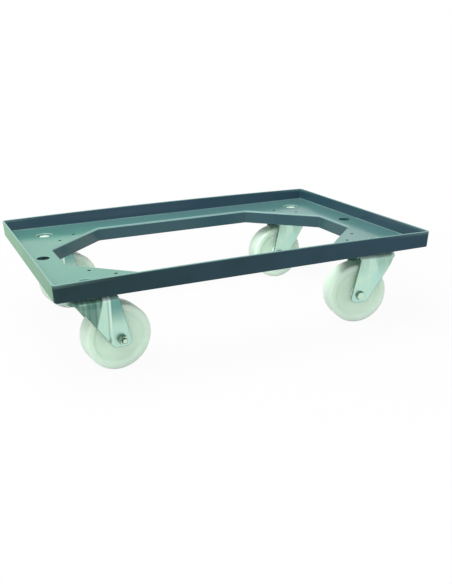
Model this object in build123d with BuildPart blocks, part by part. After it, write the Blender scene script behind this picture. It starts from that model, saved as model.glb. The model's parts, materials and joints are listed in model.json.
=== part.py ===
"""Open-deck platform dolly on four swivel casters.

Millimetres. The origin is on the floor under the middle of the frame: +X runs along the long side,
+Y across it and +Z up. The casters stand at the swivel angles of the rest pose.
"""
import os
from math import cos, hypot, radians, sin, tan

from build123d import *

# Fits and clearances
running_clearance = 0.05
thread_clearance = 0.05
bolt_hole_clearance = 0.25
ball_clearance = 0.3

# Wheel
wheel_diameter = 100.0
wheel_width = 34.0
tread_edge_radius = 4.0
rim_band = 9.0
dish_depth = 3.0
dish_slope = 5.0
hub_diameter = 30.0
hub_length = 44.0
hub_play = 0.5

# Axle
axle_diameter = 8.0
axle_hex_flats = 13.0
axle_head_height = 5.3
axle_nut_height = 8.0
axle_end = 3.0
sleeve_diameter = 12.0

# Fork
trail = 37.0
leg_thickness = 2.5
crown_thickness = 3.0
wheel_to_crown = 13.0
crown_back = 35.5
nose_reach = 32.0
nose_skirt = 8.0
shoulder_radius = 7.0
first_fold_to_axle = 15.0
second_fold_to_axle = 31.0
first_fold_angle = 3.0
second_fold_angle = 5.0
front_edge_reach = 23.5
foot_ahead = 11.5
foot_behind = 17.3
foot_drop = 12.0
foot_radius = 7.5

# Swivel head
upper_ball_diameter = 6.35
upper_ball_circle = 30.0
upper_ball_count = 13
upper_groove_depth = 1.0
lower_ball_diameter = 4.76
lower_ball_circle = 27.0
lower_ball_count = 14
lower_groove_depth = 0.7
upper_race_diameter = 44.0
upper_race_thickness = 3.0
upper_race_lip = 3.6
upper_race_lip_wall = 2.5
lower_race_diameter = 36.0
lower_race_thickness = 2.5
kingpin_diameter = 16.0
kingpin_flange_diameter = 22.0
kingpin_flange_thickness = 1.5

# Mounting bolts
mount_bolt_diameter = 10.0
mount_hex_flats = 17.0
mount_head_height = 6.4
mount_nut_height = 8.0
mount_bolt_end = 1.0
hex_chamfer = 0.6
lock_collar = 2.4

# Frame, outside
frame_length = 610.0
frame_width = 410.0
rim_height = 20.0
rim_crown = 3.0
rim_wall = 3.0
rim_edge_round = 1.0
wall_draft = 3.0
wall_lip = 2.4
wall_corner_radius = 6.0
deck_thickness = 3.5
tray_fillet = 1.5

# Frame, opening in the deck
end_beam_width = 53.0
side_beam_width = 55.0
opening_cut_x = 105.0
opening_cut_y = 102.0
opening_corner_radius = 8.0
opening_edge_round = 4.0
skirt_wall = 3.5
skirt_depth = 23.2

# Frame, underside
rib_wall = 2.5
rib_depth = 8.0
edge_rib_inset = 8.0
edge_rib_wall = 3.0
side_rib_count = 6
side_rib_spacing = 48.0
end_rib_spacing = 50.0
corner_rib_angles = (45.0, 135.0)

# Frame, holes and caster bosses
caster_inset_x = 60.0
caster_inset_y = 61.0
boss_diameter = 62.0
boss_wall = 3.5
boss_rib_count = 8
pad_thickness = 13.0
recess_diameter = 25.0
recess_depth = 8.8
recess_wall = 4.0
recess_edge_round = 2.0
tie_hole_diameter = 20.0
tie_hole_inset = 28.5
accessory_hole_diameter = 5.0
accessory_hole_offsets = [(16.0, 49.0), (47.0, 17.0)]
collar_wall = 2.5

# Swivel angles at rest: the direction in which each wheel trails, from +X
casters = {
    "front_left": (-1, -1, 6.0),
    "front_right": (1, -1, 170.0),
    "rear_left": (-1, 1, 10.0),
    "rear_right": (1, 1, 180.0),
}

# Heights, from the floor up
wheel_radius = wheel_diameter / 2
crown_bottom = wheel_diameter + wheel_to_crown
crown_top = crown_bottom + crown_thickness
upper_ball_radius = upper_ball_diameter / 2
lower_ball_radius = lower_ball_diameter / 2
upper_track = upper_ball_radius + ball_clearance
lower_track = lower_ball_radius + ball_clearance
upper_ball_height = crown_top - upper_groove_depth + upper_track
lower_ball_height = crown_bottom + lower_groove_depth - lower_track
upper_race_bottom = upper_ball_height + upper_track - upper_groove_depth
mount_height = upper_race_bottom + upper_race_thickness
lower_race_top = lower_ball_height - lower_track + lower_groove_depth
lower_race_bottom = lower_race_top - lower_race_thickness
kingpin_bottom = lower_race_bottom - kingpin_flange_thickness
deck_top = mount_height + pad_thickness
deck_bottom = deck_top - deck_thickness
rim_top = deck_top + rim_height
rim_crest = rim_top + rim_crown
wall_bottom = deck_bottom - wall_lip
rib_bottom = deck_top - rib_depth
skirt_bottom = deck_top - skirt_depth
recess_floor = deck_top - recess_depth
foot_bottom = wheel_radius - foot_drop

# Places in plan
caster_x = frame_length / 2 - caster_inset_x
caster_y = frame_width / 2 - caster_inset_y
tie_hole_x = frame_length / 2 - tie_hole_inset
opening_length = frame_length - 2 * end_beam_width
opening_width = frame_width - 2 * side_beam_width
ribbed_length = frame_length - 2 * edge_rib_inset
ribbed_width = frame_width - 2 * edge_rib_inset
rim_arch_radius = ((frame_length / 2) ** 2 + rim_crown ** 2) / (2 * rim_crown)
draft = tan(radians(wall_draft))

# Widths across the fork
leg_inside = hub_length / 2 + hub_play
leg_outside = leg_inside + leg_thickness
bolt_bore = mount_bolt_diameter / 2 + bolt_hole_clearance
leg_hole = axle_diameter / 2 + bolt_hole_clearance


def caster_plane(side_x, side_y, swivel):
    """Floor plane under one swivel axis, with its x axis along the trail."""
    heading = (cos(radians(swivel)), sin(radians(swivel)), 0)
    return Plane(origin=(side_x * caster_x, side_y * caster_y, 0), x_dir=heading, z_dir=(0, 0, 1))


def side_plane(base):
    """Upright plane through the swivel axis: x along the trail, y up."""
    return Plane(origin=base.origin, x_dir=base.x_dir, z_dir=-base.y_dir)


def axle_plane(base):
    """Level plane through the wheel's axis: x along the trail, y along the axle."""
    centre = base.from_local_coords(Vector(trail, 0, wheel_radius))
    return Plane(origin=centre, x_dir=base.x_dir, z_dir=base.z_dir)


def leg_face(base, side):
    """Plane on the outer face of one fork leg at the axle, facing outwards."""
    centre = base.from_local_coords(Vector(trail, side * leg_outside, wheel_radius))
    return Plane(origin=centre, x_dir=base.x_dir, z_dir=base.y_dir * side)


def hex_head(plane, flats, height):
    """Hexagon that stands on a plane, its outer end chamfered."""
    with BuildPart() as head:
        with BuildSketch(plane):
            RegularPolygon(radius=flats / 2, side_count=6, major_radius=False)
        extrude(amount=height)
        outer = head.edges().group_by(Axis(plane.origin, plane.z_dir))[-1]
        chamfer(outer, length=hex_chamfer)
    return head.part


def lock_nut(plane, flats, height, bore_radius):
    """Lock nut that stands on a plane, with the round collar of its locking ring outermost."""
    with BuildPart() as nut:
        add(hex_head(plane, flats, height - lock_collar))
        with BuildSketch(plane):
            Circle(flats / 2 - hex_chamfer)
        extrude(amount=height)
        with BuildSketch(plane):
            Circle(bore_radius)
        extrude(amount=height, mode=Mode.SUBTRACT)
    return nut.part


# Moulded frame
def opening_outline():
    """Eight-sided outline of the opening, with its corners rounded."""
    half_x = opening_length / 2
    half_y = opening_width / 2
    flat_x = half_x - opening_cut_x
    flat_y = half_y - opening_cut_y
    with BuildSketch() as outline:
        Polygon(
            (half_x, -flat_y), (half_x, flat_y), (flat_x, half_y), (-flat_x, half_y),
            (-half_x, flat_y), (-half_x, -flat_y), (-flat_x, -half_y), (flat_x, -half_y),
            align=None,
        )
        fillet(outline.vertices(), radius=opening_corner_radius)
    return outline.sketch


def rim_sketch(height, inset):
    """Outline of the rim at a height, drawn in by the wall's draft and by an inset."""
    lean = draft * (rim_top - height) + inset
    corner = wall_corner_radius - inset
    with BuildSketch(Plane.XY.offset(height)) as outline:
        RectangleRounded(frame_length - 2 * lean, frame_width - 2 * lean, corner)
    return outline.sketch


caster_points = [(x * caster_x, y * caster_y) for x, y, _ in casters.values()]
tie_points = [(-tie_hole_x, 0), (tie_hole_x, 0)]
accessory_points = [
    (x * (caster_x - dx), y * (caster_y - dy))
    for x, y, _ in casters.values()
    for dx, dy in accessory_hole_offsets
]
opening = opening_outline()

with BuildPart() as deck_frame:
    # Outer block, hollowed from above to the deck and from below to its underside
    loft([rim_sketch(wall_bottom, 0), rim_sketch(rim_crest, 0)], ruled=True)
    fillet(faces().sort_by(Axis.Z)[0].edges(), radius=rim_edge_round)
    loft([rim_sketch(deck_top, rim_wall), rim_sketch(rim_crest, rim_wall)], ruled=True, mode=Mode.SUBTRACT)
    fillet(edges(Select.LAST).group_by(Axis.Z)[0], radius=tray_fillet)
    extrude(rim_sketch(deck_bottom, rim_wall), amount=-wall_lip, mode=Mode.SUBTRACT)

    # Upper edge of the rim: a slight arch along the long sides, rounded
    with BuildSketch(Plane.XZ):
        with Locations((0, rim_crest)):
            Rectangle(frame_length + 2 * rim_wall, rim_height)
        with Locations((0, rim_crest - rim_arch_radius)):
            Circle(rim_arch_radius, mode=Mode.SUBTRACT)
    extrude(amount=frame_width, both=True, mode=Mode.SUBTRACT)
    fillet(faces().sort_by(Axis.Z)[-1].edges(), radius=rim_edge_round)

    # Rib along the edges, ribs across the beams and out from the casters, collars round the holes
    with BuildSketch(Plane.XY.offset(deck_bottom)):
        RectangleRounded(ribbed_length, ribbed_width, wall_corner_radius)
        RectangleRounded(
            ribbed_length - 2 * edge_rib_wall,
            ribbed_width - 2 * edge_rib_wall,
            wall_corner_radius,
            mode=Mode.SUBTRACT,
        )
        with GridLocations(side_rib_spacing, 0, side_rib_count, 1):
            Rectangle(rib_wall, ribbed_width)
        with GridLocations(0, end_rib_spacing, 1, 2):
            Rectangle(ribbed_length, rib_wall)
        with Locations(*caster_points):
            for angle in corner_rib_angles:
                Rectangle(2 * hypot(caster_inset_x, caster_inset_y), rib_wall, rotation=angle)
        with Locations(*tie_points):
            Circle(tie_hole_diameter / 2 + collar_wall)
        with Locations(*accessory_points):
            Circle(accessory_hole_diameter / 2 + collar_wall)
        RectangleRounded(ribbed_length, ribbed_width, wall_corner_radius, mode=Mode.INTERSECT)
    extrude(amount=rib_bottom - deck_bottom)

    # Skirt round the opening
    with BuildSketch(Plane.XY.offset(deck_bottom)):
        add(opening)
        offset(amount=skirt_wall)
    extrude(amount=skirt_bottom - deck_bottom)

    # Caster bosses: a core under the recess, an outer ring and radial ribs between them
    with BuildSketch(Plane.XY.offset(deck_bottom)):
        with Locations(*caster_points):
            Circle(boss_diameter / 2)
    extrude(amount=mount_height - deck_bottom)
    with BuildSketch(Plane.XY.offset(mount_height)):
        with Locations(*caster_points):
            Circle(boss_diameter / 2 - boss_wall)
            Circle(recess_diameter / 2 + recess_wall, mode=Mode.SUBTRACT)
            for spoke in range(boss_rib_count // 2):
                turn = 360 * spoke / boss_rib_count
                Rectangle(boss_diameter, rib_wall, rotation=turn, mode=Mode.SUBTRACT)
    extrude(amount=deck_bottom - mount_height, mode=Mode.SUBTRACT)

    # The opening itself, with its upper edge rounded
    with BuildSketch(Plane.XY.offset(skirt_bottom)):
        add(opening)
    extrude(amount=rim_top - skirt_bottom, mode=Mode.SUBTRACT)
    fillet(edges(Select.LAST).group_by(Axis.Z)[-1], radius=opening_edge_round)

    # Bolt holes, each in a recess with a rounded edge, then the plain holes
    with Locations(Plane.XY.offset(deck_top)):
        with Locations(*caster_points):
            CounterBoreHole(
                radius=bolt_bore,
                counter_bore_radius=recess_diameter / 2,
                counter_bore_depth=recess_depth,
                depth=pad_thickness,
            )
    fillet(edges(Select.LAST).group_by(Axis.Z)[-1], radius=recess_edge_round)
    with Locations(Plane.XY.offset(deck_top)):
        with Locations(*tie_points):
            Hole(radius=tie_hole_diameter / 2, depth=rib_depth)
        with Locations(*accessory_points):
            Hole(radius=accessory_hole_diameter / 2, depth=rib_depth)


# Bolt that holds a caster, and its nut
def make_mounting_bolt(base):
    """Hex bolt down through the frame and the kingpin, its head in the deck's recess."""
    seat = base.offset(recess_floor)
    with BuildPart() as bolt:
        add(hex_head(seat, mount_hex_flats, mount_head_height))
        with BuildSketch(seat):
            Circle(mount_bolt_diameter / 2)
        extrude(amount=kingpin_bottom - mount_nut_height - mount_bolt_end - recess_floor)
    return bolt.part


def make_mounting_nut(base):
    """Lock nut under the kingpin's flange."""
    under = base.offset(kingpin_bottom)
    downwards = Plane(origin=under.origin, x_dir=under.x_dir, z_dir=-under.z_dir)
    return lock_nut(downwards, mount_hex_flats, mount_nut_height, mount_bolt_diameter / 2 + thread_clearance)


# Swivel head
def make_upper_race(base):
    """Cup between the frame and the crown, with a ball groove and a turned-down lip."""
    with BuildPart() as race:
        with BuildSketch(base.offset(upper_race_bottom)):
            Circle(upper_race_diameter / 2)
            Circle(kingpin_diameter / 2 + running_clearance, mode=Mode.SUBTRACT)
        extrude(amount=upper_race_thickness)
        with BuildSketch(base.offset(upper_race_bottom)):
            Circle(upper_race_diameter / 2)
            Circle(upper_race_diameter / 2 - upper_race_lip_wall, mode=Mode.SUBTRACT)
        extrude(amount=-upper_race_lip)
        with Locations(base.offset(upper_ball_height)):
            Torus(upper_ball_circle / 2, upper_track, mode=Mode.SUBTRACT)
    return race.part


def make_lower_race(base):
    """Washer under the crown that carries the lower balls."""
    with BuildPart() as race:
        with BuildSketch(base.offset(lower_race_bottom)):
            Circle(lower_race_diameter / 2)
            Circle(kingpin_diameter / 2 + running_clearance, mode=Mode.SUBTRACT)
        extrude(amount=lower_race_thickness)
        with Locations(base.offset(lower_ball_height)):
            Torus(lower_ball_circle / 2, lower_track, mode=Mode.SUBTRACT)
    return race.part


def make_kingpin(base):
    """Hollow rivet through both races and the crown, flanged at its lower end."""
    with BuildPart() as kingpin:
        with BuildSketch(base.offset(kingpin_bottom)):
            Circle(kingpin_flange_diameter / 2)
        extrude(amount=kingpin_flange_thickness)
        with BuildSketch(base.offset(kingpin_bottom)):
            Circle(kingpin_diameter / 2)
        extrude(amount=mount_height - kingpin_bottom)
        with BuildSketch(base.offset(kingpin_bottom)):
            Circle(bolt_bore)
        extrude(amount=mount_height - kingpin_bottom, mode=Mode.SUBTRACT)
    return kingpin.part


def make_balls(base, height, circle, count, radius):
    """Ring of loose balls round the swivel axis."""
    with BuildPart(base.offset(height)) as balls:
        with PolarLocations(circle / 2, count):
            Sphere(radius)
    return balls.part


# Fork
def fork_plan(plane, inset):
    """Outline of the fork from above: straight sides, two folds and a round nose."""
    first_fold = trail - first_fold_to_axle
    second_fold = trail - second_fold_to_axle
    turn = radians(second_fold_angle)
    width = leg_outside
    folded = width - (first_fold - second_fold) * tan(radians(first_fold_angle))
    nose = (folded * cos(turn) - (second_fold + nose_reach) * sin(turn)) / (1 - sin(turn))
    centre = nose - nose_reach
    tangent = (centre - nose * sin(turn), nose * cos(turn))
    rear = trail + foot_behind + foot_radius
    with BuildSketch(plane) as plan:
        with BuildLine():
            Polyline((rear, width), (first_fold, width), (second_fold, folded), tangent)
            ThreePointArc(tangent, (-nose_reach, 0), (tangent[0], -tangent[1]))
            Polyline((tangent[0], -tangent[1]), (second_fold, -folded), (first_fold, -width), (rear, -width))
            Line((rear, -width), (rear, width))
        make_face()
        if inset:
            offset(amount=-inset)
    return plan.sketch


def make_fork(base):
    """Pressed fork: flat crown, two folded legs and an open front."""
    upright = side_plane(base)
    low = base.offset(foot_bottom - foot_radius)
    with BuildPart() as shell:
        extrude(fork_plan(low, 0), amount=crown_top - foot_bottom + foot_radius)
        fillet(faces().sort_by(Axis.Z)[-1].edges(), radius=shoulder_radius)
    with BuildPart() as hollow:
        extrude(fork_plan(low, leg_thickness), amount=crown_bottom - foot_bottom + foot_radius)
        fillet(faces().sort_by(Axis.Z)[-1].edges(), radius=shoulder_radius - leg_thickness)
    with BuildPart() as fork:
        add(shell.part)
        add(hollow.part, mode=Mode.SUBTRACT)

        # Side outline: the nose's short skirt, the slanted front edge, the foot and the back edge
        front = -nose_reach - leg_thickness
        skirt_height = crown_top - nose_skirt
        with BuildSketch(upright) as outline:
            with BuildLine():
                Polyline(
                    (front, crown_top), (front, skirt_height), (-front_edge_reach, skirt_height),
                    (trail - foot_ahead, foot_bottom), (trail + foot_behind, foot_bottom),
                    (crown_back, crown_top), close=True,
                )
            make_face()
            corners = outline.vertices().group_by(Axis.Y)[0]
            fillet(corners, radius=foot_radius)
        extrude(amount=2 * leg_outside, both=True, mode=Mode.INTERSECT)

        # Hole for the kingpin, ball tracks and axle holes
        with BuildSketch(base.offset(crown_bottom)):
            Circle(kingpin_diameter / 2 + running_clearance)
        extrude(amount=crown_thickness, mode=Mode.SUBTRACT)
        with Locations(base.offset(upper_ball_height)):
            Torus(upper_ball_circle / 2, upper_track, mode=Mode.SUBTRACT)
        with Locations(base.offset(lower_ball_height)):
            Torus(lower_ball_circle / 2, lower_track, mode=Mode.SUBTRACT)
        with BuildSketch(leg_face(base, 1)):
            Circle(leg_hole)
        extrude(amount=-2 * leg_outside, mode=Mode.SUBTRACT)
    return fork.part


# Wheel and axle
def make_wheel(base):
    """Solid wheel with dished sides and a longer hub, bored to turn on the sleeve."""
    plane = axle_plane(base)
    bore = sleeve_diameter / 2 + running_clearance
    half_width = wheel_width / 2
    half_hub = hub_length / 2
    web = half_width - dish_depth
    band = wheel_radius - rim_band
    with BuildPart() as wheel:
        with BuildSketch(plane):
            with BuildLine():
                Polyline(
                    (bore, 0), (bore, half_hub), (hub_diameter / 2, half_hub), (hub_diameter / 2, web),
                    (band - dish_slope, web), (band, half_width), (wheel_radius, half_width),
                    (wheel_radius, 0), close=True,
                )
            make_face()
            mirror(about=Plane.XZ)
        revolve(axis=Axis(plane.origin, plane.y_dir))
        tread = edges().filter_by(GeomType.CIRCLE).group_by(SortBy.RADIUS)[-1]
        fillet(tread, radius=tread_edge_radius)
    return wheel.part


def make_axle_sleeve(base):
    """Tube clamped between the legs, on which the wheel turns."""
    with BuildPart() as sleeve:
        with BuildSketch(leg_face(base, 1).offset(-leg_thickness)):
            Circle(sleeve_diameter / 2)
            Circle(leg_hole, mode=Mode.SUBTRACT)
        extrude(amount=-2 * leg_inside)
    return sleeve.part


def make_axle_bolt(base):
    """Hex bolt through both legs and the sleeve."""
    seat = leg_face(base, 1)
    with BuildPart() as bolt:
        add(hex_head(seat, axle_hex_flats, axle_head_height))
        with BuildSketch(seat):
            Circle(axle_diameter / 2)
        extrude(amount=-2 * leg_outside - axle_nut_height - axle_end)
    return bolt.part


def make_axle_nut(base):
    """Lock nut on the axle bolt."""
    return lock_nut(leg_face(base, -1), axle_hex_flats, axle_nut_height, axle_diameter / 2 + thread_clearance)


pieces = {"deck_frame": deck_frame.part}
for corner, (side_x, side_y, swivel) in casters.items():
    base = caster_plane(side_x, side_y, swivel)
    pieces[f"mounting_bolt_{corner}"] = make_mounting_bolt(base)
    pieces[f"mounting_nut_{corner}"] = make_mounting_nut(base)
    pieces[f"upper_race_{corner}"] = make_upper_race(base)
    pieces[f"upper_balls_{corner}"] = make_balls(
        base, upper_ball_height, upper_ball_circle, upper_ball_count, upper_ball_radius
    )
    pieces[f"lower_balls_{corner}"] = make_balls(
        base, lower_ball_height, lower_ball_circle, lower_ball_count, lower_ball_radius
    )
    pieces[f"lower_race_{corner}"] = make_lower_race(base)
    pieces[f"kingpin_{corner}"] = make_kingpin(base)
    pieces[f"fork_{corner}"] = make_fork(base)
    pieces[f"axle_bolt_{corner}"] = make_axle_bolt(base)
    pieces[f"axle_nut_{corner}"] = make_axle_nut(base)
    pieces[f"axle_sleeve_{corner}"] = make_axle_sleeve(base)
    pieces[f"wheel_{corner}"] = make_wheel(base)

os.makedirs("parts", exist_ok=True)
for name, part in pieces.items():
    part.label = name
    export_step(part, f"parts/{name}.step")
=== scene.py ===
"""Looks of the open-deck platform dolly: its finishes, the studio round it and the photograph's camera.

Metres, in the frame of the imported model: +X along the long side, +Z up, the floor at zero. A window is the
stretch of a value over which a look sets in, and a span is what the look goes from and to over that stretch.
"""
import json
import math

import bpy
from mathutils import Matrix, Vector

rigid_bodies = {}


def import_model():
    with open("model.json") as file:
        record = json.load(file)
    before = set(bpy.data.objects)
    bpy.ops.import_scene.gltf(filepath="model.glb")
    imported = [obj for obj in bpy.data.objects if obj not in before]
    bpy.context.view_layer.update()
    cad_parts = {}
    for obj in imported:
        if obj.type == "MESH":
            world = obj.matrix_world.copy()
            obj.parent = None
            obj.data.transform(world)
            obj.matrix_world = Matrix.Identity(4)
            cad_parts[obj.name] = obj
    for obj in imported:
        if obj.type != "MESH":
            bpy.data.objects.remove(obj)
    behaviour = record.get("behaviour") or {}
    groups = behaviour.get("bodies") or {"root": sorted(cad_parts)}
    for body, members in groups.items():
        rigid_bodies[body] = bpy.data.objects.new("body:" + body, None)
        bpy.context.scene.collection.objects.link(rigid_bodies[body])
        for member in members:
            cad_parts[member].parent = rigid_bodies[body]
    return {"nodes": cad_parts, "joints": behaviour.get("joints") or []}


# Camera, fitted to the photograph
CAMERA_PLACE = (-0.47384, -1.10995, 0.45311)
CAMERA_TURN = (71.0023, 0.7939, -24.8722)
CAMERA_LENS_MM = 45.146
SENSOR_MM = 36.0

# Colours, as linear red, green and blue
SLATE = (0.029, 0.061, 0.091)
# Painted shade towards the frame's left end, and painted light inside the rim and on the skirt
SLATE_SHADE_AND_MOTTLE = (0.016, 0.036, 0.039)
SLATE_INSIDE_LIT = (0.029, 0.068, 0.100)
SLATE_SKIRT_LIT = (0.031, 0.084, 0.106)
# Painted top light of the deck, with painted shade at its back and right beams
SLATE_TOP_LIT = (0.080, 0.240, 0.196)
SLATE_TOP_LIT_RIGHT = (0.084, 0.195, 0.208)
SLATE_DECK_SHADE = (0.085, 0.163, 0.195)
SLATE_SCUFF = (0.150, 0.260, 0.230)
# Painted highlight on the frame's rounded edges
SLATE_HIGHLIGHT = (0.220, 0.370, 0.360)
# Painted light on the recess walls, and painted shade inside the small holes
SLATE_RECESS_LIT = (0.160, 0.300, 0.260)
HOLE_SHADE = (0.004, 0.018, 0.014)
PLASTIC_HAZE = (0.120, 0.970, 0.300)
NYLON = (0.720, 0.880, 0.770)
NYLON_SHADE = (0.650, 0.820, 0.700)
# Painted shade on the slope of the wheel's dish
NYLON_DISH_SHADE = (0.600, 0.780, 0.650)
ZINC = (0.530, 0.765, 0.615)
ZINC_BLUE = (0.455, 0.720, 0.630)
ZINC_STRAW = (0.600, 0.780, 0.610)
# Painted shade and painted highlights on the forks
ZINC_SHADE = (0.075, 0.180, 0.145)
ZINC_RIDGE_HIGHLIGHT = (0.720, 0.930, 0.860)
ZINC_TOP_SHADE = (0.130, 0.340, 0.310)
ZINC_SHOULDER_HIGHLIGHT = (0.720, 0.900, 0.920)
BOLT_HEAD = (0.700, 0.840, 0.770)
# Painted shade on the axle hardware's flats and thread, and on the forks' cut edges
STEEL_SHADE = (0.080, 0.130, 0.105)
# Painted shade where the forks are close to other surfaces and in the upper races' patches, and the grease
# on the balls
GRIME_AND_SHADE = (0.060, 0.110, 0.085)
# Painted shade: the upper races, coloured near black
RACE_SHADE = (0.110, 0.160, 0.150)
BALL_STEEL = (0.620, 0.640, 0.640)
WHITE = (1.0, 1.0, 1.0)
FLOOR_GREY = (0.58, 0.58, 0.58)

# Light
SKY_STRENGTH = 0.68
BACKDROP_STRENGTH = 1.0
KEY_PLACE = (-0.70, -0.20, 1.90)
KEY_WATTS = 50.0
KEY_SIZE = 2.0
FRONT_PLACE = (-0.45, -1.70, 0.35)
FRONT_WATTS = 6.0
FRONT_SIZE = 1.0
LAMP_COLOUR = (0.97, 1.0, 0.94)
AIM = (0.0, 0.0, 0.10)

# Floor: the object's shadow shows near it, and the rest is plain white
FLOOR_HALF = 30.0
SHADOW_REACH = (0.45, 0.95)
FLOOR_WHITENESS = (0.94, 1.0)
FLOOR_ROUGHNESS = 0.9

# Spans and directions that several looks share
RISE = (0.0, 1.0)
FALL = (1.0, 0.0)
IN_PLAN = (1.0, 1.0, 0.0)
OFF_AXLE = (1.0, 0.0, 1.0)

# Mix node: the sockets of its colours, by number because its other kinds have the same names
MIX_SHARE = 0
MIX_FIRST = 6
MIX_SECOND = 7
MIX_RESULT = 2

# Noise: how many finer layers it has, and the window that most of its values lie in
PLAIN = 2.0
MIXED = 3.0
RICH = 4.0
NOISE_WINDOW = (0.3, 0.7)

# Frame: its deck and the arch of its rim, and places and radii of its round holes, one of each four
DECK_TOP = 0.13695
RIM_TOP = 0.15695
RIM_CROWN = 0.003
HALF_LENGTH = 0.305
HALF_WIDTH = 0.205
RIM_CORNER = (HALF_LENGTH, HALF_WIDTH, 0.0)
RECESS_AXIS = (0.245, 0.144, 0.0)
RECESS_RADIUS = 0.0145
HOLE_AXES = ((0.229, 0.095, 0.0), (0.198, 0.127, 0.0))
HOLE_RADIUS = 0.0025
HOLE_BLEND = 0.0003

# Frame finish: its slate, by the way a surface faces and by its place, with painted shade towards the left
# end and painted light inside
LEVEL_FACING = (0.35, 0.95)
OUTWARD_FACING = (-0.01, 0.01)
MOTTLE_SCALE = 14.0
LEFT_SHADE_ALONG = (-0.30, 0.12)
LEFT_SHADE_SHIFT = (-0.35, 0.35)

# Frame finish: painted top light on the deck, with painted shade at its back and right, and its scuffs
CLOUD_SCALE = 9.0
CLOUD_ROUGHNESS = 0.6
CLOUD_WINDOW = (0.25, 0.75)
CLOUD_TOP_LIGHT = (0.82, 1.0)
TOP_LIGHT_ALONG = (-0.25, 0.25)
BACK_BEAM = (0.10, 0.17)
BACK_ALONG = (-0.25, 0.05)
BACK_SHARE = (0.55, 1.0)
RIGHT_BEAM = (0.23, 0.29)
RIGHT_SHARE = (0.0, 0.6)
SCUFFS_ALONG = (30.0, 520.0, 30.0)
SCUFFS_ACROSS = (480.0, 26.0, 30.0)
SCUFF_WINDOW = (0.68, 0.80)
SCUFF_SHARE = (0.0, 0.25)

# Frame finish: painted highlights on rounded edges, by the way they face and by their depth below the rim's
# top
ROUND_FROM = (0.15, 0.45)
ROUND_TO = (0.90, 0.985)
RIM_EDGE = (RIM_TOP - 0.006, RIM_TOP - 0.003)
RIM_EDGE_SHARE = (0.22, 0.45)
OPENING_EDGE_SHARE = 0.75
RIM_HIGHLIGHT_DEPTH = (0.0, 0.0022)
RIM_HIGHLIGHT_SHARE = (0.30, 0.0)
CORNER_REACH = (0.0, 0.090)
CORNER_DEPTH = (0.0, 0.006)
CORNER_SHARE = (0.45, 0.0)

# Frame finish: gloss, whose specular level and sheen go from the inner faces to the outer ones
SMUDGE_SCALE = 22.0
PLASTIC_ROUGHNESS = (0.12, 0.20)
PLASTIC_IOR = 1.36
PLASTIC_SPECULAR = (0.5, 0.10)
PLASTIC_SHEEN = (0.20, 0.30)
SHEEN_ROUGHNESS = 0.35
GRAIN_SCALE = 1400.0
GRAIN_STRENGTH = 0.012
GRAIN_HEIGHT = 0.0001

# Wheel and axle, from the axle's middle: the dish in the wheel's side and the bolt's thread in its nut, both
# with painted shade
DISH_EDGE = 0.041
DISH_FOOT = 0.036
DISH_BLEND = 0.001
DISH_SHADE_SHARE = 0.15
BOLT_RADIUS = 0.004
THREAD_WINDOW = (0.0005, 0.0009)
THREAD_SHADE_SHARE = (0.85, 0.0)
NUT_END = (-0.001, 0.001)

# Wheel finish
RING_SCALE = 90.0
RING_WOBBLE = 0.4
RING_DETAIL = 1.0
RING_STRENGTH = 0.10
RING_HEIGHT = 0.0002
NYLON_CLOUD_SCALE = 28.0
NYLON_ROUGHNESS = (0.34, 0.46)
NYLON_IOR = 1.45
NYLON_SUBSURFACE = 0.80
NYLON_RADIUS = (1.0, 1.0, 0.8)
NYLON_DEPTH = 0.015

# Fork, from the floor below the swivel axis: its folds along the trail, its sides, its heights and its dent
NOSE_FOLD = 0.006
LEG_FOLD = 0.022
FOLD_BLEND = 0.0015
NOSE_LEAN = 0.28
NOSE_LEAN_FROM = 0.090
NUT_SIDE = (-0.010, 0.010)
CROWN_FADE = (0.078, 0.104)
RIDGE_FADE = (0.048, 0.075)
TOP_SHADE_FADE = (0.070, 0.100)
SHOULDER = (0.1095, 0.1125)
CUT_EDGE_TOP = 0.106
DENT_LINE = 0.0185
DENT_FOOT = (0.0195, -0.025, 0.0515)

# Fork finish: tints of its plating and painted reflection streaks, painted shade and painted highlight, with
# each SIDE span from the bolt head's side to the nut's
STREAK_STRETCH = (190.0, 60.0, 16.0)
STREAK_WINDOW = (0.42, 0.62)
STREAK_SHARE = (0.0, 0.5)
STREAK_MOTTLE_WINDOW = (0.3, 0.6)
STREAK_MOTTLE = (0.7, 1.0)
REAR_SHARE = (0.0, 0.6)
NOSE_DOWN_SHARE = 0.9
SIDE_SHADE = (0.40, 1.0)
TOP_SHADE_SHARE = (0.0, 0.85)
FACET_HIGHLIGHT = (0.45, 1.0)

# Fork finish: painted shade and highlight at the press's folds, painted shade on cut edges and where the
# sheet is close to other surfaces, and how dull its sheltered faces are
FOOT_STRETCH = (1.0, 0.3, 0.45)
FOOT_REACH = (0.0010, 0.0028)
FOOT_SHARE = (0.6, 0.0)
DENT_REACH = (0.0, 0.0016)
DENT_SHARE = (0.45, 0.0)
RIDGE_REACH = (0.0006, 0.0018)
RIDGE_SHARE = (0.7, 0.0)
RIDGE_DOWN_SHARE = (0.2, 1.0)
SIDE_RIDGE = (0.15, 1.0)
INSIDE_FACING = (-0.012, -0.006)
INSIDE_SHARE = (0.8, 0.0)
CUT_FACING = (0.4, 0.7)
CUT_SHARE = (0.45, 0.0)
CUT_LINE = 0.0020
CUT_LINE_SAMPLES = 6
CUT_LINE_WINDOW = (0.98, 0.88)
CUT_LINE_SHARE = (0.0, 0.75)
OCCLUSION_SHADE_REACH = 0.012
OCCLUSION_SHADE_SAMPLES = 8
OCCLUSION_SHADE_WINDOW = (0.15, 0.70)
OCCLUSION_SHADE_SHARE = (0.5, 0.0)
DULL_SHADE = (1.0, 0.3)
DULL_METALLIC = (1.0, 0.25)

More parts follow.
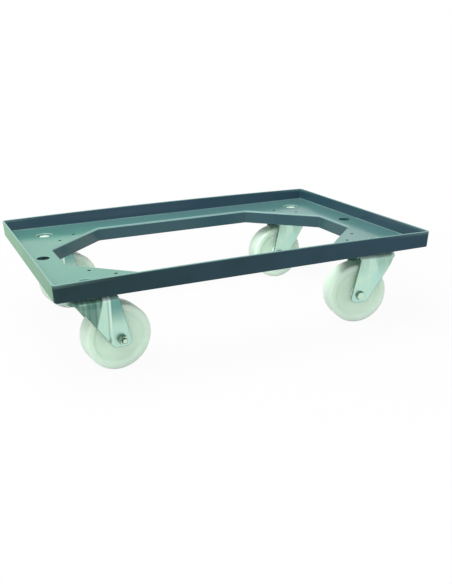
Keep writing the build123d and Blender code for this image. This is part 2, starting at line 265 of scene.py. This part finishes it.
# Zinc and steel: scale of each one's patches, their windows and shares, and how rough and metallic it is
ZINC_TINT_SCALE = 24.0
ZINC_BLUE_WINDOW = (0.35, 0.50)
ZINC_STRAW_WINDOW = (0.52, 0.68)
SATIN_SCALE = 60.0
SATIN_SPREAD = 0.12
PRESSED_SCALE = 45.0
PRESSED_STRENGTH = 0.12
PRESSED_HEIGHT = 0.002
FORK_ROUGHNESS = 0.26
PLATED_ROUGHNESS = 0.22
HARDWARE_ROUGHNESS = 0.20
HARDWARE_END_FACING = (0.55, 0.90)
SPOT_SCALE = 220.0
SPOT_WINDOW = (0.45, 0.70)
SPOT_SHARE = (0.0, 0.6)
BOLT_HEAD_METALLIC = 0.35
BOLT_HEAD_ROUGHNESS = (0.35, 0.50)
PATCH_SCALE = 160.0
RACE_SHADE_METALLIC = 0.6
RACE_SHADE_ROUGHNESS = (0.45, 0.60)
FILM_SCALE = 300.0
FILM_WINDOW = (0.4, 0.7)
FILM_SHARE = (0.0, 0.5)
BALL_ROUGHNESS = (0.10, 0.30)

CORNERS = ("front_left", "front_right", "rear_left", "rear_right")

for leftover in list(bpy.data.objects):
    bpy.data.objects.remove(leftover)

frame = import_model()
nodes = frame["nodes"]
joints = {joint["name"]: joint for joint in frame["joints"]}
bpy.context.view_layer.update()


# Node helpers
def rgba(colour):
    return (*colour, 1.0)


def node(tree, kind, inputs=None, **settings):
    """New shader node, with its settings and its inputs, each a value or another node's output."""
    made = tree.nodes.new(kind)
    for name, value in settings.items():
        setattr(made, name, value)
    for socket, value in (inputs or {}).items():
        if isinstance(value, bpy.types.NodeSocket):
            tree.links.new(value, made.inputs[socket])
        else:
            made.inputs[socket].default_value = value
    return made


def new_material(name):
    """Material with one principled shader: returns the material, its tree and that shader."""
    material = bpy.data.materials.new(name)
    material.use_nodes = True
    tree = material.node_tree
    return material, tree, tree.nodes["Principled BSDF"]


def feed(tree, output, shader, socket):
    """Links a node's output to one of the shader's inputs."""
    tree.links.new(output, shader.inputs[socket])


def object_place(tree):
    """Point on the piece, in metres."""
    return node(tree, "ShaderNodeTexCoord").outputs["Object"]


def object_facing(tree):
    """Way that the piece's surface faces, at rest."""
    return node(tree, "ShaderNodeTexCoord").outputs["Normal"]


def parts(tree, place):
    """The three coordinates of a point."""
    return node(tree, "ShaderNodeSeparateXYZ", {"Vector": place}).outputs


def stretched(tree, place, scale):
    """A point with each of its coordinates scaled."""
    return node(tree, "ShaderNodeMapping", {"Vector": place, "Scale": scale}).outputs["Vector"]


def noise(tree, place, scale=1.0, detail=MIXED, roughness=0.5):
    made = node(
        tree, "ShaderNodeTexNoise",
        {"Vector": place, "Scale": scale, "Detail": detail, "Roughness": roughness},
    )
    return made.outputs["Fac"]


def ranged(tree, value, window, span=RISE):
    """Value carried from a window to a span, and held at the span's ends."""
    low, high = window
    to_low, to_high = span
    made = node(
        tree, "ShaderNodeMapRange",
        {"Value": value, "From Min": low, "From Max": high, "To Min": to_low, "To Max": to_high},
    )
    return made.outputs["Result"]


def maths(tree, operation, first, second=0.0):
    return node(tree, "ShaderNodeMath", {0: first, 1: second}, operation=operation).outputs["Value"]


def times(tree, first, second):
    return maths(tree, "MULTIPLY", first, second)


def most(tree, first, second):
    return maths(tree, "MAXIMUM", first, second)


def rest_of(tree, share):
    """What a share leaves of one."""
    return maths(tree, "SUBTRACT", 1.0, share)


def distance(tree, value, mark):
    """How far a value is from a mark, either way."""
    return maths(tree, "ABSOLUTE", maths(tree, "SUBTRACT", value, mark))


def mixed(tree, share, first, second):
    """Colour between two others, each a constant or another node's output."""
    first = rgba(first) if isinstance(first, tuple) else first
    second = rgba(second) if isinstance(second, tuple) else second
    inputs = {MIX_SHARE: share, MIX_FIRST: first, MIX_SECOND: second}
    return node(tree, "ShaderNodeMix", inputs, data_type="RGBA").outputs[MIX_RESULT]


def bumped(tree, shader, height, strength, reach):
    """Gives the shader a relief whose height is reach, in metres."""
    made = node(tree, "ShaderNodeBump", {"Height": height, "Strength": strength, "Distance": reach})
    feed(tree, made.outputs["Normal"], shader, "Normal")


def vector(tree, operation, first, second=(0.0, 0.0, 0.0)):
    """Vector that an operation gives, or the number where it is a product or a length."""
    made = node(tree, "ShaderNodeVectorMath", {0: first, 1: second}, operation=operation)
    return made.outputs["Value" if operation in ("DOT_PRODUCT", "LENGTH") else "Vector"]


def flat_length(tree, offset, directions):
    """Length of an offset, counted along some of its directions only."""
    return vector(tree, "LENGTH", vector(tree, "MULTIPLY", offset, directions))


# Places on the frame and on a caster
def from_upright(tree, place, axis):
    """Distance from the nearest of four upright lines, placed alike in the frame's four quarters."""
    away = vector(tree, "SUBTRACT", vector(tree, "ABSOLUTE", place), axis)
    return flat_length(tree, away, IN_PLAN)


def round_hole(tree, place, axis, radius):
    """Share that is one inside four upright holes, placed alike in the frame's four quarters."""
    edge = (radius + HOLE_BLEND, radius + 2 * HOLE_BLEND)
    return ranged(tree, from_upright(tree, place, axis), edge, FALL)


def trail_angle(corner):
    """Direction in which a caster trails at rest, from +X."""
    axle = joints[f"wheel_spin_{corner}"]["axis"]
    return math.atan2(-axle[0], axle[1])


def trailing_place(tree, corner, origin):
    """Point on a caster at rest, from an origin: along its trail, across it and up."""
    return node(
        tree, "ShaderNodeMapping",
        {"Vector": object_place(tree), "Location": origin, "Rotation": (0.0, 0.0, trail_angle(corner))},
        vector_type="TEXTURE",
    ).outputs["Vector"]


def axle_place(tree, corner):
    """Point on a caster at rest, from the middle of its axle."""
    return trailing_place(tree, corner, joints[f"wheel_spin_{corner}"]["pos_m"])


def caster_place(tree, corner):
    """Point on a caster at rest, from the floor below its swivel axis."""
    swivel = joints[f"swivel_{corner}"]["pos_m"]
    return trailing_place(tree, corner, (swivel[0], swivel[1], 0.0))


def along_axle(tree, corner):
    """How far the surface faces along the caster's axle, from -1 to 1."""
    return vector(tree, "DOT_PRODUCT", object_facing(tree), joints[f"wheel_spin_{corner}"]["axis"])


# Frame finish
def slate_colour(tree, place, outside, below_deck):
    """Slate of the upright faces: mottled outside and darker towards the left end as painted shade, with
    painted light making it lighter inside the rim and on the skirt.
    """
    length, _, _ = parts(tree, place)
    mottle = noise(tree, place, MOTTLE_SCALE)
    # Painted shade: darker towards the left end, with a random mottle.
    shade_and_mottle = maths(tree, "ADD", ranged(tree, length, LEFT_SHADE_ALONG, LEFT_SHADE_SHIFT), mottle)
    slate = mixed(tree, shade_and_mottle, SLATE_SHADE_AND_MOTTLE, SLATE)
    # Painted light: inside the rim and on the skirt lighter than outside.
    inside = mixed(tree, below_deck, SLATE_INSIDE_LIT, SLATE_SKIRT_LIT)
    return mixed(tree, outside, inside, slate)


def top_lit_colour(tree, place):
    """Painted top light of the deck: greener on the left and bluer on the right, with painted shade at the
    back and on the right beam.
    """
    length, width, _ = parts(tree, place)
    lit_tone = mixed(tree, ranged(tree, length, TOP_LIGHT_ALONG), SLATE_TOP_LIT, SLATE_TOP_LIT_RIGHT)
    back = times(tree, ranged(tree, width, BACK_BEAM), ranged(tree, length, BACK_ALONG, BACK_SHARE))
    right = ranged(tree, length, RIGHT_BEAM, RIGHT_SHARE)
    return mixed(tree, most(tree, back, right), lit_tone, SLATE_DECK_SHADE)


def scuffs(tree, place):
    """Share of thin scuffs, which run along and across the deck."""
    along = noise(tree, stretched(tree, place, SCUFFS_ALONG), detail=RICH)
    across = noise(tree, stretched(tree, place, SCUFFS_ACROSS), detail=RICH)
    return ranged(tree, most(tree, along, across), SCUFF_WINDOW, SCUFF_SHARE)


def highlighted_edges(tree, upward, height, below_deck):
    """Share of painted highlight on rounded edges: more at the rim's top, and most round the opening."""
    rounded = times(tree, ranged(tree, upward, ROUND_FROM), ranged(tree, upward, ROUND_TO, FALL))
    rim = ranged(tree, height, RIM_EDGE, RIM_EDGE_SHARE)
    return times(tree, rounded, most(tree, rim, times(tree, below_deck, OPENING_EDGE_SHARE)))


def rim_highlight(tree, place):
    """Share of painted highlight that rises to the rim's upper edge, over more of its height near the
    corners.
    """
    length, _, height = parts(tree, place)
    reach = maths(tree, "DIVIDE", length, HALF_LENGTH)
    arch = times(tree, times(tree, reach, reach), RIM_CROWN)
    depth = maths(tree, "SUBTRACT", maths(tree, "SUBTRACT", RIM_TOP + RIM_CROWN, arch), height)
    edge = ranged(tree, depth, RIM_HIGHLIGHT_DEPTH, RIM_HIGHLIGHT_SHARE)
    corner = ranged(tree, from_upright(tree, place, RIM_CORNER), CORNER_REACH, FALL)
    return most(tree, edge, times(tree, corner, ranged(tree, depth, CORNER_DEPTH, CORNER_SHARE)))


def frame_plastic():
    """Slate-grey moulded plastic, dull and mottled, scuffed where crates slide on it, with painted top light
    on its level faces, painted light inside, painted shade towards the left end and painted highlights on
    its edges.
    """
    material, tree, shader = new_material("frame_plastic")
    place = object_place(tree)
    facing = node(tree, "ShaderNodeNewGeometry").outputs["Normal"]
    _, _, upward = parts(tree, facing)
    _, _, height = parts(tree, place)
    outward = vector(tree, "DOT_PRODUCT", facing, vector(tree, "MULTIPLY", place, IN_PLAN))
    level = ranged(tree, upward, LEVEL_FACING)
    outside = times(tree, rest_of(tree, level), ranged(tree, outward, OUTWARD_FACING))
    below_deck = ranged(tree, height, (DECK_TOP, DECK_TOP + HOLE_BLEND), FALL)

    cloud = noise(tree, place, CLOUD_SCALE, RICH, CLOUD_ROUGHNESS)
    # Painted top light: level faces lighter, a little uneven by the noise, with painted shade at the back
    # and right.
    top_light = times(tree, level, ranged(tree, cloud, CLOUD_WINDOW, CLOUD_TOP_LIGHT))
    colour = slate_colour(tree, place, outside, below_deck)
    colour = mixed(tree, top_light, colour, top_lit_colour(tree, place))
    colour = mixed(tree, times(tree, level, scuffs(tree, place)), colour, SLATE_SCUFF)
    # Painted highlights on the rounded edges and along the rim's upper edge.
    colour = mixed(tree, highlighted_edges(tree, upward, height, below_deck), colour, SLATE_HIGHLIGHT)
    colour = mixed(tree, rim_highlight(tree, place), colour, SLATE_HIGHLIGHT)
    # Painted light on the walls of the bolt recesses, and painted shade inside the small holes.
    colour = mixed(tree, round_hole(tree, place, RECESS_AXIS, RECESS_RADIUS), colour, SLATE_RECESS_LIT)
    for axis in HOLE_AXES:
        colour = mixed(tree, round_hole(tree, place, axis, HOLE_RADIUS), colour, HOLE_SHADE)
    feed(tree, colour, shader, "Base Color")

    smudge = noise(tree, place, SMUDGE_SCALE)
    feed(tree, ranged(tree, smudge, NOISE_WINDOW, PLASTIC_ROUGHNESS), shader, "Roughness")
    shader.inputs["IOR"].default_value = PLASTIC_IOR
    feed(tree, ranged(tree, outside, RISE, PLASTIC_SPECULAR), shader, "Specular IOR Level")
    feed(tree, ranged(tree, outside, RISE, PLASTIC_SHEEN), shader, "Sheen Weight")
    shader.inputs["Sheen Roughness"].default_value = SHEEN_ROUGHNESS
    shader.inputs["Sheen Tint"].default_value = rgba(PLASTIC_HAZE)
    grain = noise(tree, place, GRAIN_SCALE, PLAIN)
    bumped(tree, shader, grain, GRAIN_STRENGTH, GRAIN_HEIGHT)
    return material


# Wheel finish
def wheel_nylon(corner):
    """Natural polyamide: milky, with the faint rings of its mould round the axle, and painted shade on the
    slope of its dish.
    """
    material, tree, shader = new_material(f"wheel_nylon_{corner}")
    place = axle_place(tree, corner)
    cloud = noise(tree, place, NYLON_CLOUD_SCALE)
    colour = mixed(tree, ranged(tree, cloud, NOISE_WINDOW), NYLON_SHADE, NYLON)
    reach = flat_length(tree, place, OFF_AXLE)
    # Painted shade on the slope of the dish.
    dish_shade = times(tree, ranged(tree, reach, (DISH_FOOT, DISH_FOOT + DISH_BLEND)),
                  ranged(tree, reach, (DISH_EDGE - DISH_BLEND, DISH_EDGE), FALL))
    colour = mixed(tree, times(tree, dish_shade, DISH_SHADE_SHARE), colour, NYLON_DISH_SHADE)
    feed(tree, colour, shader, "Base Color")
    feed(tree, ranged(tree, cloud, NOISE_WINDOW, NYLON_ROUGHNESS), shader, "Roughness")
    shader.inputs["IOR"].default_value = NYLON_IOR
    shader.inputs["Subsurface Weight"].default_value = NYLON_SUBSURFACE
    shader.inputs["Subsurface Radius"].default_value = NYLON_RADIUS
    shader.inputs["Subsurface Scale"].default_value = NYLON_DEPTH
    rings = node(
        tree, "ShaderNodeTexWave",
        {"Vector": place, "Scale": RING_SCALE, "Distortion": RING_WOBBLE, "Detail": RING_DETAIL},
        wave_type="RINGS", rings_direction="Y",
    ).outputs["Fac"]
    bumped(tree, shader, rings, RING_STRENGTH, RING_HEIGHT)
    return material


# Zinc and steel finishes
def zinc_colour(tree, place):
    """Bright zinc with its faint blue and straw tints."""
    tint = noise(tree, place, ZINC_TINT_SCALE)
    colour = mixed(tree, ranged(tree, tint, ZINC_BLUE_WINDOW, FALL), ZINC, ZINC_BLUE)
    return mixed(tree, ranged(tree, tint, ZINC_STRAW_WINDOW), colour, ZINC_STRAW)


def satin_metal(tree, shader, place, roughness):
    """Metal with an uneven satin and the shallow waves of pressed sheet."""
    shader.inputs["Metallic"].default_value = 1.0
    satin = noise(tree, place, SATIN_SCALE)
    uneven = ranged(tree, satin, NOISE_WINDOW, (roughness, roughness + SATIN_SPREAD))
    feed(tree, uneven, shader, "Roughness")
    waves = noise(tree, place, PRESSED_SCALE, PLAIN)
    bumped(tree, shader, waves, PRESSED_STRENGTH, PRESSED_HEIGHT)


def painted_fork_shade(tree, place, nut_side):
    """Share of painted shade: at the crown and down the leaning nose, above all on the nut's side."""
    along, _, up = parts(tree, place)
    height = ranged(tree, up, CROWN_FADE)
    lean = times(tree, maths(tree, "SUBTRACT", up, NOSE_LEAN_FROM), NOSE_LEAN)
    off_nose = maths(tree, "SUBTRACT", along, lean)
    nose = ranged(tree, off_nose, (NOSE_FOLD - FOLD_BLEND, NOSE_FOLD + FOLD_BLEND), FALL)
    rear = ranged(tree, along, (LEG_FOLD - FOLD_BLEND, LEG_FOLD + FOLD_BLEND), REAR_SHARE)
    reaching_down = most(tree, height, times(tree, nut_side, NOSE_DOWN_SHARE))
    dark = most(tree, times(tree, nose, reaching_down), times(tree, rear, height))
    return times(tree, dark, ranged(tree, nut_side, RISE, SIDE_SHADE))


def plating_colour(tree, place, nut_side, shoulder):
    """Zinc of a fork with streaks that are partly its blue tint and partly painted reflections, painted
    shade at the crown, the nose and high behind the leg's fold, and a painted highlight on its shoulder.
    """
    along, _, up = parts(tree, place)
    # Streaks: partly the plating's blue tint and partly painted reflections.
    streaks = noise(tree, stretched(tree, place, STREAK_STRETCH))
    streak_share = ranged(tree, streaks, STREAK_WINDOW, STREAK_SHARE)
    colour = mixed(tree, streak_share, zinc_colour(tree, place), ZINC_BLUE)
    # Painted shade at the crown and down the nose, mottled by the streaks.
    dark = painted_fork_shade(tree, place, nut_side)
    mottled = times(tree, dark, ranged(tree, streaks, STREAK_MOTTLE_WINDOW, STREAK_MOTTLE))
    colour = mixed(tree, mottled, colour, ZINC_SHADE)

    # Painted shade high behind the leg's fold, on the nut's side.
    behind = ranged(tree, along, (LEG_FOLD, LEG_FOLD + FOLD_BLEND))
    top_shade = times(tree, behind, ranged(tree, up, TOP_SHADE_FADE, TOP_SHADE_SHARE))
    colour = mixed(tree, times(tree, top_shade, nut_side), colour, ZINC_TOP_SHADE)
    # Painted highlight on the shoulder, strongest on the facet at the nut's side.
    shoulder_highlight = times(tree, shoulder, rest_of(tree, dark))
    facet = times(tree, nut_side, rest_of(tree, behind))
    shoulder_highlight = times(tree, shoulder_highlight, ranged(tree, facet, RISE, FACET_HIGHLIGHT))
    return mixed(tree, shoulder_highlight, colour, ZINC_SHOULDER_HIGHLIGHT)


def press_shade_and_highlight(tree, place, nut_side, colour):
    """Colour with painted shade and highlight at the press's folds: painted shade along the dent's line and
    at its foot, and a painted highlight on the fold's ridge.
    """
    along, _, up = parts(tree, place)
    # Painted shade at the dent's foot and along its line, and a painted highlight on the fold's ridge.
    off_foot = flat_length(tree, vector(tree, "SUBTRACT", place, DENT_FOOT), FOOT_STRETCH)
    colour = mixed(tree, ranged(tree, off_foot, FOOT_REACH, FOOT_SHARE), colour, ZINC_SHADE)
    off_dent = distance(tree, along, DENT_LINE)
    dent = times(tree, ranged(tree, off_dent, DENT_REACH, DENT_SHARE), nut_side)
    colour = mixed(tree, dent, colour, ZINC_SHADE)
    off_ridge = distance(tree, along, LEG_FOLD)
    ridge = ranged(tree, off_ridge, RIDGE_REACH, RIDGE_SHARE)
    ridge = times(tree, ridge, ranged(tree, up, RIDGE_FADE, RIDGE_DOWN_SHARE))
    ridge = times(tree, ridge, ranged(tree, nut_side, RISE, SIDE_RIDGE))
    return mixed(tree, ridge, colour, ZINC_RIDGE_HIGHLIGHT)


def shaded_edge_line(tree):
    """Share of painted shade that rises in a thin line along the cut edges of the sheet."""
    soft = node(tree, "ShaderNodeBevel", {"Radius": CUT_LINE}, samples=CUT_LINE_SAMPLES).outputs["Normal"]
    true = node(tree, "ShaderNodeNewGeometry").outputs["Normal"]
    return ranged(tree, vector(tree, "DOT_PRODUCT", soft, true), CUT_LINE_WINDOW, CUT_LINE_SHARE)


def occlusion_shade(tree):
    """Share of painted shade where the sheet is close to another surface."""
    occlusion = node(
        tree, "ShaderNodeAmbientOcclusion", {"Distance": OCCLUSION_SHADE_REACH}, samples=OCCLUSION_SHADE_SAMPLES,
    )
    return ranged(tree, occlusion.outputs["AO"], OCCLUSION_SHADE_WINDOW, OCCLUSION_SHADE_SHARE)


def fork_zinc(corner):
    """Zinc-plated pressed steel: bright legs, dull on their inner sides and at the crown's shoulder, with
    painted shade and painted highlights.
    """
    material, tree, shader = new_material(f"fork_zinc_{corner}")
    place = caster_place(tree, corner)
    _, across, up = parts(tree, place)
    nut_side = ranged(tree, across, NUT_SIDE, FALL)
    shoulder = ranged(tree, up, SHOULDER)
    colour = plating_colour(tree, place, nut_side, shoulder)
    colour = press_shade_and_highlight(tree, place, nut_side, colour)

    sideways = along_axle(tree, corner)
    inside = ranged(tree, times(tree, sideways, across), INSIDE_FACING, INSIDE_SHARE)
    dull = most(tree, shoulder, inside)
    cut = ranged(tree, maths(tree, "ABSOLUTE", sideways), CUT_FACING, CUT_SHARE)
    low = ranged(tree, up, (CUT_EDGE_TOP, CUT_EDGE_TOP + FOLD_BLEND), FALL)
    # Painted shade on the cut edges low on the legs, and in a thin line along all the sheet's cut edges.
    colour = mixed(tree, times(tree, cut, low), colour, STEEL_SHADE)
    colour = mixed(tree, shaded_edge_line(tree), colour, STEEL_SHADE)
    # Painted shade where the sheet is close to other surfaces, weaker on its dull faces.
    corner_shade = times(tree, occlusion_shade(tree), ranged(tree, dull, RISE, DULL_SHADE))
    colour = mixed(tree, corner_shade, colour, GRIME_AND_SHADE)
    feed(tree, colour, shader, "Base Color")
    satin_metal(tree, shader, place, FORK_ROUGHNESS)
    feed(tree, ranged(tree, dull, RISE, DULL_METALLIC), shader, "Metallic")
    return material


def plated_steel():
    """Zinc-plated steel of the small hidden pieces."""
    material, tree, shader = new_material("plated_steel")
    place = object_place(tree)
    feed(tree, zinc_colour(tree, place), shader, "Base Color")
    satin_metal(tree, shader, place, PLATED_ROUGHNESS)
    return material


def bolt_heads():
    """Dull bright zinc of the mounting bolts, whose heads lie in the corner recesses."""
    material, tree, shader = new_material("bolt_heads")
    spots = noise(tree, object_place(tree), SPOT_SCALE)
    colour = mixed(tree, ranged(tree, spots, SPOT_WINDOW, SPOT_SHARE), BOLT_HEAD, ZINC_BLUE)
    feed(tree, colour, shader, "Base Color")
    shader.inputs["Metallic"].default_value = BOLT_HEAD_METALLIC
    feed(tree, ranged(tree, spots, NOISE_WINDOW, BOLT_HEAD_ROUGHNESS), shader, "Roughness")
    return material


def axle_hardware(corner):
    """Axle bolt and nut: bright on their ends, with painted shade on their flats and in the nut's thread."""
    material, tree, shader = new_material(f"axle_hardware_{corner}")
    place = object_place(tree)
    # Painted shade on the flats, while the ends keep the zinc.
    ends = ranged(tree, maths(tree, "ABSOLUTE", along_axle(tree, corner)), HARDWARE_END_FACING)
    colour = mixed(tree, ends, STEEL_SHADE, zinc_colour(tree, place))
    local = axle_place(tree, corner)
    _, across, _ = parts(tree, local)
    # Painted shade in the nut's thread round the bolt.
    off_thread = distance(tree, flat_length(tree, local, OFF_AXLE), BOLT_RADIUS)
    nut_end = ranged(tree, across, NUT_END, FALL)
    thread_shade = times(tree, nut_end, ranged(tree, off_thread, THREAD_WINDOW, THREAD_SHADE_SHARE))
    colour = mixed(tree, thread_shade, colour, STEEL_SHADE)
    feed(tree, colour, shader, "Base Color")
    satin_metal(tree, shader, place, HARDWARE_ROUGHNESS)
    return material


def race_shade_steel():
    """Steel of the upper races, painted nearly black as shade, in uneven patches."""
    material, tree, shader = new_material("race_shade_steel")
    patches = noise(tree, object_place(tree), PATCH_SCALE)
    feed(tree, mixed(tree, patches, RACE_SHADE, GRIME_AND_SHADE), shader, "Base Color")
    shader.inputs["Metallic"].default_value = RACE_SHADE_METALLIC
    feed(tree, ranged(tree, patches, NOISE_WINDOW, RACE_SHADE_ROUGHNESS), shader, "Roughness")
    return material


def ball_steel():
    """Polished bearing steel under a film of grease."""
    material, tree, shader = new_material("ball_steel")
    film = noise(tree, object_place(tree), FILM_SCALE, PLAIN)
    colour = mixed(tree, ranged(tree, film, FILM_WINDOW, FILM_SHARE), BALL_STEEL, GRIME_AND_SHADE)
    feed(tree, colour, shader, "Base Color")
    shader.inputs["Metallic"].default_value = 1.0
    feed(tree, ranged(tree, film, NOISE_WINDOW, BALL_ROUGHNESS), shader, "Roughness")
    return material


# Studio
def seen_directly(tree):
    """One for rays that show the surroundings: from the camera, a reflection or a clear piece."""
    path = node(tree, "ShaderNodeLightPath").outputs
    reflected = most(tree, path["Is Camera Ray"], path["Is Glossy Ray"])
    return most(tree, reflected, path["Is Transmission Ray"])


def floor_paint():
    """Pale floor that shows as white, with the object's shadow near it."""
    material, tree, shader = new_material("floor_paint")
    reach = vector(tree, "LENGTH", object_place(tree))
    whiteness = ranged(tree, reach, SHADOW_REACH, FLOOR_WHITENESS)
    share = times(tree, seen_directly(tree), whiteness)
    shader.inputs["Base Color"].default_value = rgba(FLOOR_GREY)
    shader.inputs["Roughness"].default_value = FLOOR_ROUGHNESS
    glow = node(tree, "ShaderNodeEmission", {"Color": rgba(WHITE), "Strength": BACKDROP_STRENGTH})
    both = node(
        tree, "ShaderNodeMixShader",
        {0: share, 1: shader.outputs["BSDF"], 2: glow.outputs["Emission"]},
    )
    feed(tree, both.outputs["Shader"], tree.nodes["Material Output"], "Surface")
    return material


def make_floor():
    mesh = bpy.data.meshes.new("floor")
    corners = [(x * FLOOR_HALF, y * FLOOR_HALF, 0.0) for x, y in ((-1, -1), (1, -1), (1, 1), (-1, 1))]
    mesh.from_pydata(corners, [], [(0, 1, 2, 3)])
    mesh.materials.append(floor_paint())
    floor = bpy.data.objects.new("floor", mesh)
    bpy.context.scene.collection.objects.link(floor)


def make_world():
    """White surroundings, which light the object less than they show."""
    world = bpy.data.worlds.new("studio")
    bpy.context.scene.world = world
    world.use_nodes = True
    tree = world.node_tree
    fill = tree.nodes["Background"]
    fill.inputs["Color"].default_value = rgba(WHITE)
    fill.inputs["Strength"].default_value = SKY_STRENGTH
    backdrop = node(tree, "ShaderNodeBackground", {"Color": rgba(WHITE), "Strength": BACKDROP_STRENGTH})
    both = node(
        tree, "ShaderNodeMixShader",
        {0: seen_directly(tree), 1: fill.outputs["Background"], 2: backdrop.outputs["Background"]},
    )
    feed(tree, both.outputs["Shader"], tree.nodes["World Output"], "Surface")


def make_lamp(name, place, watts, size):
    """Soft square lamp aimed at the object."""
    data = bpy.data.lights.new(name, "AREA")
    data.energy = watts
    data.size = size
    data.color = LAMP_COLOUR
    lamp = bpy.data.objects.new(name, data)
    lamp.location = place
    towards = Vector(AIM) - Vector(place)
    lamp.rotation_euler = towards.to_track_quat("-Z", "Y").to_euler()
    bpy.context.scene.collection.objects.link(lamp)


def make_camera():
    data = bpy.data.cameras.new("camera")
    data.sensor_width = SENSOR_MM
    data.lens = CAMERA_LENS_MM
    camera = bpy.data.objects.new("camera", data)
    camera.location = CAMERA_PLACE
    camera.rotation_euler = [math.radians(angle) for angle in CAMERA_TURN]
    bpy.context.scene.collection.objects.link(camera)
    bpy.context.scene.camera = camera


def dress(name, material):
    """Gives a CAD node its finish."""
    mesh = nodes[name].data
    mesh.materials.clear()
    mesh.materials.append(material)


make_camera()
make_world()
make_floor()
make_lamp("key", KEY_PLACE, KEY_WATTS, KEY_SIZE)
make_lamp("front", FRONT_PLACE, FRONT_WATTS, FRONT_SIZE)

dress("deck_frame", frame_plastic())
plated = plated_steel()
mounting = bolt_heads()
race_in_shade = race_shade_steel()
balls = ball_steel()
for corner in CORNERS:
    dress(f"fork_{corner}", fork_zinc(corner))
    dress(f"wheel_{corner}", wheel_nylon(corner))
    # Painted shade: the upper races coloured near black.
    dress(f"upper_race_{corner}", race_in_shade)
    dress(f"mounting_bolt_{corner}", mounting)
    for piece in ("lower_race", "kingpin", "axle_sleeve", "mounting_nut"):
        dress(f"{piece}_{corner}", plated)
    hardware = axle_hardware(corner)
    for piece in ("axle_bolt", "axle_nut"):
        dress(f"{piece}_{corner}", hardware)
    for ring in ("upper_balls", "lower_balls"):
        dress(f"{ring}_{corner}", balls)

bpy.context.scene.view_settings.view_transform = "Standard"
